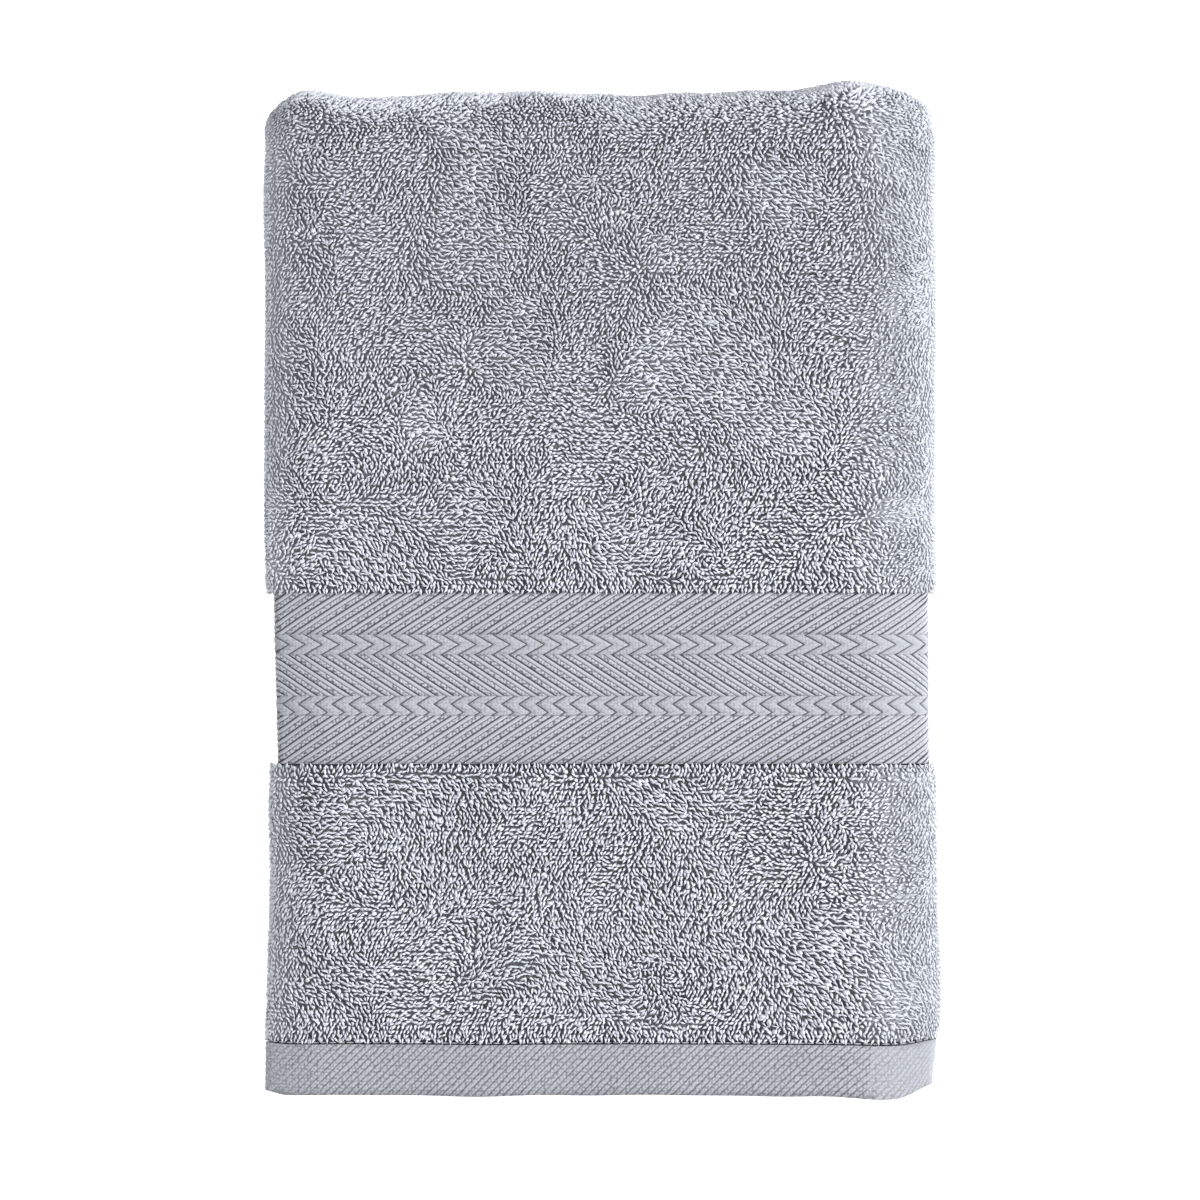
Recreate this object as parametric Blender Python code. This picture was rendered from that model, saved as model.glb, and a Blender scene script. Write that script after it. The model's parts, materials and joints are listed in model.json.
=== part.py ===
"""A bath towel folded in thirds across its width and then in half twice along its length.

The towel lies on its folded underside. X runs across it, Y along it, Z up. The front, at -Y, shows the
end hem; the last fold is at +Y, and the upper half opens about it.
"""

import math

import bmesh
import bpy

# Driving dimensions, in metres.
TOWEL_WIDTH = 0.700          # flat, selvedge to selvedge
TOWEL_LENGTH = 1.400         # flat, hem to hem
TERRY_THICKNESS = 0.0031     # ground cloth with the loops of both faces
BORDER_THICKNESS = 0.0016    # the flat woven band has no loops
HEM_THICKNESS = 0.0024       # flat cloth turned under twice
SELVEDGE_THICKNESS = 0.0018
HEM_LENGTH = 0.0187          # from the towel's end to the hem's seam
SHORT_PILE_LENGTH = 0.0980   # from the hem's seam to the border
BORDER_LENGTH = 0.0610
BORDER_DRAW_IN = 0.0025      # how much narrower the border weaves, on each side
SELVEDGE_WIDTH = 0.0060
THREAD_DIAMETER = 0.0008     # the hem's sewing thread
TUCK = 0.0020                # the last third stops this short of the first side fold
LEAF_CLEARANCE = 0.00035     # between two leaves of cloth that lie on each other
JOIN_CLEARANCE = 0.0003      # between two stretches of the cloth that meet end to end
SIDE_FOLD_STEPS = 8          # facets round a side fold
END_FOLD_STEPS = 16          # facets round an end fold

# Fits that follow from them.
LEAF_PITCH = TERRY_THICKNESS + LEAF_CLEARANCE
LAYER_THICKNESS = 3 * TERRY_THICKNESS + 2 * LEAF_CLEARANCE
LAYER_PITCH = LAYER_THICKNESS + LEAF_CLEARANCE
STACK_HEIGHT = LAYER_THICKNESS + 3 * LAYER_PITCH
FIRST_SIDE_RADIUS = LEAF_PITCH / 2
LAST_SIDE_RADIUS = LEAF_PITCH

# The cloth's width is the centre third, two side folds and two turned-in thirds.
FOLDED_WIDTH = (
    TOWEL_WIDTH
    - (math.pi - 2) * (FIRST_SIDE_RADIUS + LAST_SIDE_RADIUS)
    + 3 * TERRY_THICKNESS
    + BORDER_DRAW_IN
    + LEAF_CLEARANCE
    + TUCK
) / 3
HALF_WIDTH = FOLDED_WIDTH / 2
INNER_EDGE_X = HALF_WIDTH - TERRY_THICKNESS - BORDER_DRAW_IN - LEAF_CLEARANCE
OUTER_EDGE_X = -HALF_WIDTH + TUCK

# The cloth's length is four layers, the first fold between two of them and the last fold round them all.
OUTER_FOLD_RADIUS = 1.5 * LAYER_PITCH
INNER_FOLD_RADIUS = 0.5 * LAYER_PITCH
FIRST_FOLD_RADIUS = 0.5 * LAYER_PITCH
FIRST_FOLD_REACH = FIRST_FOLD_RADIUS + LAYER_THICKNESS / 2
LAST_FOLD_REACH = OUTER_FOLD_RADIUS + LAYER_THICKNESS / 2
LAYER_LENGTH = (
    TOWEL_LENGTH
    + 2 * FIRST_FOLD_REACH
    - math.pi * (OUTER_FOLD_RADIUS + INNER_FOLD_RADIUS + FIRST_FOLD_RADIUS)
) / 4
FOLDED_LENGTH = LAYER_LENGTH + LAST_FOLD_REACH

FRONT_Y = -FOLDED_LENGTH / 2
LAST_FOLD_Y = FRONT_Y + LAYER_LENGTH
FIRST_FOLD_Y = FRONT_Y + FIRST_FOLD_REACH
BOTTOM_Z = LAYER_THICKNESS / 2
MIDDLE_Z = BOTTOM_Z + LAYER_PITCH
BACK_Z = MIDDLE_Z + LAYER_PITCH
TOP_Z = BACK_Z + LAYER_PITCH
FIRST_FOLD_Z = (BOTTOM_Z + MIDDLE_Z) / 2
LAST_FOLD_Z = (MIDDLE_Z + BACK_Z) / 2

TERRY_COLOUR = (0.47, 0.49, 0.54, 1.0)
FLAT_COLOUR = (0.44, 0.46, 0.51, 1.0)
THREAD_COLOUR = (0.50, 0.52, 0.57, 1.0)
COTTON_ROUGHNESS = 0.95


def clear_scene():
    for item in list(bpy.data.objects):
        bpy.data.objects.remove(item)


def new_collection(name):
    collection = bpy.data.collections.new(name)
    bpy.context.scene.collection.children.link(collection)
    return collection


def cotton(name, colour):
    material = bpy.data.materials.new(name + "_cotton")
    material.use_nodes = True
    shader = material.node_tree.nodes["Principled BSDF"]
    shader.inputs["Base Color"].default_value = colour
    shader.inputs["Roughness"].default_value = COTTON_ROUGHNESS
    shader.inputs["Metallic"].default_value = 0.0
    material.diffuse_color = colour
    return material


def arc(centre, radius, start, end, steps):
    """Points and outward directions on an arc, its angles in degrees."""
    found = []
    for step in range(steps + 1):
        angle = math.radians(start + (end - start) * step / steps)
        outward = (math.cos(angle), math.sin(angle))
        found.append(
            ((centre[0] + radius * outward[0], centre[1] + radius * outward[1]), outward)
        )
    return found


def folded_line(draw_in):
    """The cloth's middle line across the towel, as (x, height) points with the direction of its face.

    It starts at the free edge of the third that lies inside, goes round the first side fold, along the
    centre third and round the last side fold, and ends at the free edge of the third underneath.
    """
    first_x = -HALF_WIDTH + draw_in + TERRY_THICKNESS / 2 + FIRST_SIDE_RADIUS
    last_x = HALF_WIDTH - draw_in - TERRY_THICKNESS / 2 - LAST_SIDE_RADIUS
    cloth_end = SELVEDGE_WIDTH + JOIN_CLEARANCE
    line = [((INNER_EDGE_X - cloth_end, 0.0), (0.0, -1.0))]
    line += arc((first_x, FIRST_SIDE_RADIUS), FIRST_SIDE_RADIUS, 270, 90, SIDE_FOLD_STEPS)
    line += arc((last_x, 0.0), LAST_SIDE_RADIUS, 90, -90, SIDE_FOLD_STEPS)
    line.append(((OUTER_EDGE_X + cloth_end, -LEAF_PITCH), (0.0, -1.0)))
    return line


def folded_outline(thickness, draw_in=0.0):
    """The closed outline of a cloth of that thickness, folded in thirds."""
    line = folded_line(draw_in)
    face = [(x + dx * thickness / 2, h + dh * thickness / 2) for (x, h), (dx, dh) in line]
    reverse = [(x - dx * thickness / 2, h - dh * thickness / 2) for (x, h), (dx, dh) in line]
    return face + reverse[::-1]


def selvedge_outline(low_x, high_x, height):
    """A long side's woven edge: a flat strip that carries on from the cloth."""
    half = SELVEDGE_THICKNESS / 2
    return [
        (low_x, height - half),
        (high_x, height - half),
        (high_x, height + half),
        (low_x, height + half),
    ]


def inner_selvedge():
    return selvedge_outline(INNER_EDGE_X - SELVEDGE_WIDTH, INNER_EDGE_X, 0.0)


def outer_selvedge():
    return selvedge_outline(OUTER_EDGE_X, OUTER_EDGE_X + SELVEDGE_WIDTH, -LEAF_PITCH)


def finish_piece(name, mesh_or_curve, parent, place, colour):
    piece = bpy.data.objects.new(name, mesh_or_curve)
    TOWEL.objects.link(piece)
    piece.parent = parent
    piece.location = [place[i] - parent.location[i] for i in range(3)]
    piece.data.materials.append(cotton(name, colour))
    return piece


def profile_face(outline, to_point):
    mesh = bmesh.new()
    corners = [mesh.verts.new(to_point(x, height)) for x, height in outline]
    return mesh, mesh.faces.new(corners)


def mesh_of(name, builder):
    bmesh.ops.remove_doubles(builder, verts=builder.verts, dist=1e-6)
    bmesh.ops.recalc_face_normals(builder, faces=builder.faces)
    mesh = bpy.data.meshes.new(name)
    builder.to_mesh(mesh)
    builder.free()
    return mesh


def straight_piece(name, parent, outline, face_up, start_y, end_y, middle_z, colour):
    """An outline carried straight along Y. face_up is 1 where the centre third is the layer's top."""
    builder, face = profile_face(outline, lambda x, height: (x, 0.0, face_up * height))
    made = bmesh.ops.extrude_face_region(builder, geom=[face])
    moved = [item for item in made["geom"] if isinstance(item, bmesh.types.BMVert)]
    bmesh.ops.translate(builder, verts=moved, vec=(0.0, end_y - start_y, 0.0))
    finish_piece(name, mesh_of(name, builder), parent, (0.0, start_y, middle_z), colour)


def bent_piece(name, parent, outline, face_out, radius, half_turn, axis_y, axis_z, colour):
    """An outline carried round an end fold, from below its axis to above it.

    face_out is 1 where the centre third is on the outside of the bend, and half_turn is 180 for a bend
    towards +Y and -180 for one towards -Y.
    """
    builder, face = profile_face(outline, lambda x, height: (x, 0.0, -radius - face_out * height))
    bmesh.ops.spin(
        builder,
        geom=[face, *face.edges, *face.verts],
        cent=(0.0, 0.0, 0.0),
        axis=(1.0, 0.0, 0.0),
        angle=math.radians(half_turn),
        steps=END_FOLD_STEPS,
        use_duplicate=False,
    )
    finish_piece(name, mesh_of(name, builder), parent, (0.0, axis_y, axis_z), colour)


def hem_thread(name, parent, face_up, seam_y, middle_z):
    """The sewing thread along a hem's seam, which follows the cloth round its side folds."""
    line = folded_line(0.0)
    curve = bpy.data.curves.new(name, "CURVE")
    curve.dimensions = "3D"
    curve.bevel_depth = THREAD_DIAMETER / 2
    curve.bevel_resolution = 1
    curve.use_fill_caps = True
    spline = curve.splines.new("POLY")
    spline.points.add(len(line) - 1)
    for point, ((x, height), _) in zip(spline.points, line):
        point.co = (x, 0.0, face_up * height, 1.0)
    finish_piece(name, curve, parent, (0.0, seam_y, middle_z), THREAD_COLOUR)


def end_layer(end, parent, face_up, middle_z):
    """A layer with a woven end: hem, seam, short pile, border and body, with a selvedge on each side."""
    terry = folded_outline(TERRY_THICKNESS)
    seam_gap = THREAD_DIAMETER + 2 * JOIN_CLEARANCE
    seam_y = FRONT_Y + HEM_LENGTH
    border_y = seam_y + SHORT_PILE_LENGTH
    body_y = border_y + BORDER_LENGTH
    stretches = [
        ("hem", folded_outline(HEM_THICKNESS), FRONT_Y, seam_y - seam_gap / 2, FLAT_COLOUR),
        ("short_pile", terry, seam_y + seam_gap / 2, border_y - JOIN_CLEARANCE, TERRY_COLOUR),
        (
            "border",
            folded_outline(BORDER_THICKNESS, BORDER_DRAW_IN),
            border_y,
            body_y - JOIN_CLEARANCE,
            FLAT_COLOUR,
        ),
        ("body", terry, body_y, LAST_FOLD_Y - JOIN_CLEARANCE / 2, TERRY_COLOUR),
    ]
    for part, outline, start_y, end_y, colour in stretches:
        straight_piece(f"{end}_{part}", parent, outline, face_up, start_y, end_y, middle_z, colour)
    hem_thread(f"{end}_hem_thread", parent, face_up, seam_y, middle_z)
    layer_selvedges(end, parent, face_up, FRONT_Y, middle_z)


def layer_selvedges(layer, parent, face_up, start_y, middle_z):
    for side, outline in (("inner", inner_selvedge()), ("outer", outer_selvedge())):
        straight_piece(
            f"{layer}_{side}_selvedge",
            parent,
            outline,
            face_up,
            start_y,
            LAST_FOLD_Y - JOIN_CLEARANCE / 2,
            middle_z,
            FLAT_COLOUR,
        )


def plain_layer(layer, parent, face_up, middle_z):
    """A layer that is terry from the first fold to the last one."""
    straight_piece(
        f"{layer}_body",
        parent,
        folded_outline(TERRY_THICKNESS),
        face_up,
        FIRST_FOLD_Y + JOIN_CLEARANCE,
        LAST_FOLD_Y - JOIN_CLEARANCE / 2,
        middle_z,
        TERRY_COLOUR,
    )
    layer_selvedges(layer, parent, face_up, FIRST_FOLD_Y + JOIN_CLEARANCE, middle_z)


def end_fold(fold, parent, face_out, radius, half_turn, axis_y, axis_z):
    """The cloth of one end fold with its two selvedges."""
    pieces = [
        (fold, folded_outline(TERRY_THICKNESS), TERRY_COLOUR),
        (f"{fold}_inner_selvedge", inner_selvedge(), FLAT_COLOUR),
        (f"{fold}_outer_selvedge", outer_selvedge(), FLAT_COLOUR),
    ]
    for name, outline, colour in pieces:
        bent_piece(name, parent, outline, face_out, radius, half_turn, axis_y, axis_z, colour)


def body_empty(name, place):
    empty = bpy.data.objects.new(name, None)
    TOWEL.objects.link(empty)
    empty.location = place
    return empty


clear_scene()
TOWEL = new_collection("folded_bath_towel")
LOWER_HALF = body_empty("lower_half", (0.0, 0.0, 0.0))
UPPER_HALF = body_empty("upper_half", (0.0, LAST_FOLD_Y, LAST_FOLD_Z))

plain_layer("bottom", LOWER_HALF, -1, BOTTOM_Z)
plain_layer("middle", LOWER_HALF, 1, MIDDLE_Z)
end_layer("back", UPPER_HALF, -1, BACK_Z)
end_layer("front", UPPER_HALF, 1, TOP_Z)
end_fold("first_fold", LOWER_HALF, 1, FIRST_FOLD_RADIUS, -180, FIRST_FOLD_Y, FIRST_FOLD_Z)
end_fold("inner_fold", LOWER_HALF, -1, INNER_FOLD_RADIUS, 180, LAST_FOLD_Y, LAST_FOLD_Z)
end_fold("outer_fold", LOWER_HALF, 1, OUTER_FOLD_RADIUS, 180, LAST_FOLD_Y, LAST_FOLD_Z)
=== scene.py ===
import json
import math

import bpy
import numpy as np
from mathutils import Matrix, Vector


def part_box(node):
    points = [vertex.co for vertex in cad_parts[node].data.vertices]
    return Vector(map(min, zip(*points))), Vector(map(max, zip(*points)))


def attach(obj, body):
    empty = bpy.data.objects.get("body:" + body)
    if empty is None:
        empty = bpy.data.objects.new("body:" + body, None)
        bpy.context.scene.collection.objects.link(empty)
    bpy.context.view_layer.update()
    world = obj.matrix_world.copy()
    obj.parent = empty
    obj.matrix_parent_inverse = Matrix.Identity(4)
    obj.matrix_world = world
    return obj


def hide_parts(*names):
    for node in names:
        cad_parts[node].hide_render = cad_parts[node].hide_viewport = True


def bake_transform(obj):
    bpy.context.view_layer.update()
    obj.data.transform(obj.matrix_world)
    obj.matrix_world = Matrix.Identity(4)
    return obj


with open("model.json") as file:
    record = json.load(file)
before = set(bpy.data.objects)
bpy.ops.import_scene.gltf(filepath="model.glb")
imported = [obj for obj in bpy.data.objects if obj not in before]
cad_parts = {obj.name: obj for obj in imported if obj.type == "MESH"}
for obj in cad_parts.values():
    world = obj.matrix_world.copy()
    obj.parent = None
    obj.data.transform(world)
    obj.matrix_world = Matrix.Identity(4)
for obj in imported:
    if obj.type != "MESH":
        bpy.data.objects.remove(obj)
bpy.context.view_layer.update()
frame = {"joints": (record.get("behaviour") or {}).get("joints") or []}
rng = np.random.default_rng(140)
mm = 0.001

# Sizes of the folded cloth, all read from the frame
bodyLow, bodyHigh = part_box("front_body")
borderLow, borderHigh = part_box("front_border")
pileLow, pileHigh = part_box("front_short_pile")
hemLow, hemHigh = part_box("front_hem")
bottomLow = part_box("bottom_body")[0]
middleLow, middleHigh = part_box("middle_body")
innerStripLow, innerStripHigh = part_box("front_inner_selvedge")
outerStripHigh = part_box("front_outer_selvedge")[1]
axisY, axisZ = frame["joints"][0]["pos_m"][1:]

layerThick = bodyHigh.z - bodyLow.z
layerPitch = middleLow.z - bottomLow.z
leafGap = layerPitch - layerThick
terryThick = (layerThick - 2 * leafGap) / 3
leafPitch = terryThick + leafGap
halfWidth = bodyHigh.x
frontY = hemLow.y
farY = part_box("outer_fold")[1].y
stackHigh = bodyHigh.z
borderDraw = halfWidth - borderHigh.x - (terryThick - (borderHigh.z - borderLow.z - 2 * leafPitch)) / 2
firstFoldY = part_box("first_fold")[1].y

# Each stretch of the cloth along its length: flat layers, and the bends between them
stretches = {
    "bottom": {"z": bottomLow.z + layerThick / 2, "up": -1},
    "middle": {"z": middleLow.z + layerThick / 2, "up": 1},
    "back": {"z": bottomLow.z + layerThick / 2 + 2 * layerPitch, "up": -1},
    "front": {"z": bottomLow.z + layerThick / 2 + 3 * layerPitch, "up": 1},
    "firstFold": {
        "y": firstFoldY, "z": (bottomLow.z + middleHigh.z) / 2,
        "radius": layerPitch / 2, "out": 1, "way": -1,
    },
    "innerFold": {"y": axisY, "z": axisZ, "radius": layerPitch / 2, "out": -1, "way": 1},
    "outerFold": {"y": axisY, "z": axisZ, "radius": 1.5 * layerPitch, "out": 1, "way": 1},
}


def smooth(t):
    t = np.clip(t, 0, 1)
    return t * t * (3 - 2 * t)


def bump(x, centre, width):
    return np.exp(-(((x - centre) / width) ** 2))


def within(y, low, high, beyond, soft):
    # 1 between low and high, falling to 0 a little beyond them
    return smooth((y - low + beyond) / soft) * smooth((high + beyond - y) / soft)


def waves(seed, shortest, longest, count):
    # a smooth random surface from a handful of sine waves, about -1 to 1
    pick = np.random.default_rng(seed)
    length = pick.uniform(shortest, longest, count)
    turn = pick.uniform(0, 2 * math.pi, count)
    phase = pick.uniform(0, 2 * math.pi, count)
    kx, ky = 2 * math.pi * np.cos(turn) / length, 2 * math.pi * np.sin(turn) / length

    def field(x, y):
        x, y = np.asarray(x, float), np.asarray(y, float)
        total = np.zeros(np.broadcast(x, y).shape)
        for i in range(count):
            total = total + np.sin(kx[i] * x + ky[i] * y + phase[i])
        return total / math.sqrt(count / 2) / 1.6

    return field


def clouds(seed, size, octaves=2):
    # a smooth random surface without direction, about -1 to 1, its patches about that size
    pick = np.random.default_rng(seed)
    layers = [(pick.normal(0, 1, (48, 48)), pick.uniform(0, 2 * math.pi)) for _ in range(octaves)]

    def field(x, y):
        x, y = np.asarray(x, float), np.asarray(y, float)
        total = 0.0
        for k, (grid, turn) in enumerate(layers):
            fine = 2.0**k / size
            gx = (x * math.cos(turn) + y * math.sin(turn)) * fine
            gy = (y * math.cos(turn) - x * math.sin(turn)) * fine
            ix, iy = np.floor(gx).astype(int), np.floor(gy).astype(int)
            fx, fy = smooth(gx - ix), smooth(gy - iy)
            ix, iy, jx, jy = ix % 48, iy % 48, (ix + 1) % 48, (iy + 1) % 48
            low = grid[ix, iy] * (1 - fx) + grid[jx, iy] * fx
            high = grid[ix, jy] * (1 - fx) + grid[jx, jy] * fx
            total = total + (low * (1 - fy) + high * fy) * 0.6**k
        return total

    return field


# How the folded cloth settles: soft dents, a wandering outline and rounded corners
settleLook = {
    "dent": 0.035,            # share of the height that the deepest dents take
    "ripple": 0.35 * mm,
    "rightFall": 0.19,        # share of the height that the sides fall away
    "rightWide": 27 * mm,
    "leftFall": 0.11,
    "leftWide": 22 * mm,
    "rightDraw": 4.0 * mm,    # the cloth closes up towards the right side, where it turns down
    "leftClose": 1.2 * mm,
    "drawWide": 15.5 * mm,
    "leftDraw": 1.5 * mm,     # the short pile and border lie further in on the left
    "rightSwell": 1.6 * mm,
    "borderSqueeze": (2.6 * mm, 3.0 * mm),   # left and right, for the layers under the border
    # bumps along the last fold: how far out, where across, how wide
    "farBumps": [
        (4.2 * mm, 0.0865, 0.0145), (-1.5 * mm, -0.081, 0.016),
        (0.6 * mm, -0.102, 0.008), (-0.9 * mm, 0.013, 0.012),
    ],
    # corners of the last fold: side, how wide, how deep
    "corners": [(-1, 15.2 * mm, 13.2 * mm), (1, 20.8 * mm, 11.04 * mm)],
    "hemCut": 3.4 * mm,
    "hemSwell": 1.5 * mm,
    "hemLeftCut": 1.6 * mm,
    "edgeWander": 0.3 * mm,
}
dentField = waves(5, 0.05, 0.16, 9)
rippleField = waves(6, 0.018, 0.04, 12)
edgeField = waves(8, 0.02, 0.07, 7)


def settle(points):
    look = settleLook
    x, y, z = points[:, 0].copy(), points[:, 1].copy(), points[:, 2].copy()
    share = np.clip(z / stackHigh, 0, 1.1)
    side = np.clip(x / halfWidth, -1.05, 1.05)
    left, right = smooth(-side) ** 2, smooth(side) ** 2
    inBorder = within(y, borderLow.y, borderHigh.y, 4 * mm, 6 * mm)
    below = smooth((0.84 - share) / 0.04) * within(y, borderLow.y, borderHigh.y, 9 * mm, 13 * mm)
    squeezeLeft, squeezeRight = look["borderSqueeze"]
    dx = left * look["leftDraw"] * bump(y, -0.066, 0.045)
    dx = dx + left * (0.6 * mm * inBorder + squeezeLeft * below) - right * squeezeRight * below
    dx = dx + right * look["rightSwell"] * bump(y, -0.139, 0.022)
    dx = dx + right * -0.9 * mm * bump(y, frontY, 0.012)
    aboveHem = smooth((y - hemHigh.y) / (6 * mm))
    dx = dx + right * (0.8 + 0.7 * aboveHem - 0.5 * smooth((y + 0.02) / 0.02) - 1.3 * inBorder) * mm
    dx = dx + left * 1.2 * mm * bump(y, -0.115, 0.028)
    dx = dx + (left + right) * look["edgeWander"] * edgeField(y, z * 2.0)
    for sign, draw in ((1, look["rightDraw"]), (-1, -look["leftClose"])):
        inside = np.clip(halfWidth - sign * x, 0, 1) / look["drawWide"]
        dx = dx + draw * inside * np.exp(1 - inside)
    # the far end: bumps along the last fold, and its rounded corners
    far = smooth((y - axisY) / (farY - axisY))
    dy = far * 0.5 * mm * edgeField(x * 1.4, 0.3)
    for out, centre, width in look["farBumps"]:
        dy = dy + far * out * bump(x, centre, width)
    corner = smooth((y - axisY + 2 * mm) / (farY - axisY - 2 * mm))
    for sign, wide, deep in look["corners"]:
        t = np.clip((sign * x - (halfWidth - wide)) / wide, 0, 1)
        dy = dy - corner * deep * (1 - np.sqrt(np.maximum(1 - t * t * 0.98, 0)))
    # the front end: the hem runs off towards its right corner
    near = smooth((frontY + 0.03 - y) / 0.03)
    upper = smooth(share * 2 - 0.6)
    dy = dy + near * upper * (
        look["hemCut"] * smooth((x - 0.1000) / 0.016)
        - look["hemSwell"] * bump(x, 0.096, 0.013)
        + look["hemLeftCut"] * smooth((-x - 0.108) / 0.010)
        + 0.35 * mm * edgeField(x, 0.1)
    )
    dent = 0.5 + 0.5 * np.clip(dentField(x, y), -1, 1)
    fallRight = look["rightFall"] * np.clip((x - halfWidth) / look["rightWide"] + 1, 0, 1) ** 1.5
    fallLeft = look["leftFall"] * np.clip((-x - halfWidth) / look["leftWide"] + 1, 0, 1) ** 1.5
    dz = -z * (look["dent"] * dent + fallRight + fallLeft)
    dz = dz + share * look["ripple"] * (rippleField(x, y) - 1) * 0.5
    return np.stack([x + dx, y + dy, z + dz], 1)


# Across the towel: u runs over the centre third, round the side folds and into the turned-in thirds
def sideFolds(draw):
    firstX = -halfWidth + draw + terryThick / 2 + leafPitch / 2
    lastX = halfWidth - draw - terryThick / 2 - leafPitch
    return firstX, lastX


def acrossCloth(u, lift, draw):
    firstX, lastX = sideFolds(draw)
    small, big = leafPitch / 2, leafPitch
    a = np.clip((firstX - u) / small, 0, math.pi)
    b = np.clip((u - lastX) / big, 0, math.pi)
    pastFirst = np.maximum(firstX - u - math.pi * small, 0)
    pastLast = np.maximum(u - lastX - math.pi * big, 0)
    x = np.clip(u, firstX, lastX)
    x = x - (small + lift) * np.sin(a) + (big + lift) * np.sin(b) + pastFirst - pastLast
    height = np.where(
        u > lastX,
        (big + lift) * np.cos(b),
        small + (small + lift) * np.cos(a),
    )
    return x, height


def clothLimits(draw):
    # u at the cloth's two ends, beside the selvedges
    firstX, lastX = sideFolds(draw)
    join = 0.3 * mm
    low = firstX - math.pi * leafPitch / 2 - (innerStripLow.x - join - firstX)
    high = lastX + math.pi * leafPitch + (lastX - outerStripHigh.x - join)
    return low, high


def lay(stretch, u, s, lift, draw):
    where = stretches[stretch]
    x, height = acrossCloth(u, lift, draw)
    if "up" in where:
        return np.stack([x, s, where["z"] + where["up"] * height], 1)
    radius = where["radius"] + where["out"] * height
    y = where["y"] + where["way"] * radius * np.sin(s)
    return np.stack([x, y, where["z"] - radius * np.cos(s)], 1)


def place(stretch, u, s, lift, draw=0.0):
    # s is y on a flat layer, and on a bend the angle from below its axis
    u, s, lift, draw = (
        value.ravel() for value in np.broadcast_arrays(*(np.asarray(v, float) for v in (u, s, lift, draw)))
    )
    middle = lay(stretch, u, s, 0.0 * lift, draw)
    return lay(stretch, u, s, lift, draw) + settle(middle) - middle


print("cloth laid out")

# Small helpers for Blender's own tools


def deselectAll():
    if bpy.context.mode != "OBJECT":
        bpy.ops.object.mode_set(mode="OBJECT")
    bpy.ops.object.select_all(action="DESELECT")


def takeMesh(piece):
    # a modelled piece as arrays, its object then removed
    data = piece.data
    points = np.zeros(len(data.vertices) * 3)
    data.vertices.foreach_get("co", points)
    faces = [list(face.vertices) for face in data.polygons]
    bpy.data.objects.remove(piece)
    return points.reshape(-1, 3), faces


def inOrder(faces):
    # the same faces in a fixed order, so that every run gives the same maps
    turned = []
    for face in faces:
        first = face.index(min(face))
        turned.append(face[first:] + face[:first])
    return sorted(turned)


def makePiece(name, points, faces, material):
    data = bpy.data.meshes.new(name)
    data.from_pydata(points.tolist(), [], faces)
    data.materials.append(material)
    piece = bpy.data.objects.new(name, data)
    bpy.context.scene.collection.objects.link(piece)
    data.shade_smooth()
    return piece


def evenCorners(count):
    # a flat shape with that many corners, inside a unit square
    turn = 2 * math.pi * (np.arange(count) + 0.5) / count
    return 0.5 + 0.46 * np.stack([np.cos(turn), np.sin(turn)], 1)


def makeCopies(name, template, placed, material, layers):
    # placed is (copies, points, 3); every copy gets its own faces, its yarn map and its cell in the bake map
    points, faces = template["points"], template["faces"]
    copies, count = placed.shape[0], len(points)
    corners = np.concatenate([np.array(face) for face in faces])
    sizes = np.array([len(face) for face in faces])
    offsets = (np.arange(copies) * count)[:, None]
    allCorners = (corners[None] + offsets).ravel()
    allSizes = np.tile(sizes, copies)
    data = bpy.data.meshes.new(name)
    data.vertices.add(copies * count)
    data.vertices.foreach_set("co", placed.astype(np.float32).ravel())
    data.loops.add(len(allCorners))
    data.loops.foreach_set("vertex_index", allCorners.astype(np.int32))
    data.polygons.add(len(allSizes))
    starts = np.concatenate([[0], np.cumsum(allSizes)[:-1]])
    data.polygons.foreach_set("loop_start", starts.astype(np.int32))
    data.update(calc_edges=True)
    data.validate()
    # the bake map: a square grid of cells, one to a copy, and in each a square to a face
    side = math.ceil(math.sqrt(copies))
    inner = math.ceil(math.sqrt(len(faces)))
    inCell = np.concatenate(
        [
            (evenCorners(len(face)) + np.array([k % inner, k // inner])) / inner
            for k, face in enumerate(faces)
        ]
    )
    cell = np.stack([np.arange(copies) % side, np.arange(copies) // side], 1)
    bakeMap = (inCell[None] + cell[:, None]) / side
    yarnMap = np.tile(template["yarn"][corners], (copies, 1))
    for mapName, values in (("yarn", yarnMap), ("OFBake", bakeMap)):
        layer = data.uv_layers.new(name=mapName)
        layer.data.foreach_set("uv", values.astype(np.float32).ravel())
    for key, values in layers.items():
        attribute = data.attributes.new(key, "FLOAT", "POINT")
        attribute.data.foreach_set("value", np.repeat(values, count).astype(np.float32))
    data.materials.append(material)
    data.shade_smooth()
    piece = bpy.data.objects.new(name, data)
    bpy.context.scene.collection.objects.link(piece)
    return piece


# Materials


class Socket:
    # a shader value that adds Math nodes as it is used in an expression
    def __init__(self, maker, output):
        self.maker, self.output = maker, output

    def math(self, operation, first, second=None):
        values = [first] if second is None else [first, second]
        return self.maker.node("ShaderNodeMath", {"operation": operation}, dict(enumerate(values)))

    def __add__(self, other):
        return self.math("ADD", self, other)

    def __radd__(self, other):
        return self.math("ADD", other, self)

    def __sub__(self, other):
        return self.math("SUBTRACT", self, other)

    def __rsub__(self, other):
        return self.math("SUBTRACT", other, self)

    def __mul__(self, other):
        return self.math("MULTIPLY", self, other)

    def __rmul__(self, other):
        return self.math("MULTIPLY", other, self)

    def __pow__(self, other):
        return self.math("POWER", self, other)

    def sine(self):
        return self.math("SINE", self)

    def clamped(self):
        return self.math("MAXIMUM", self.math("MINIMUM", self, 1.0), 0.0)


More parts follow.
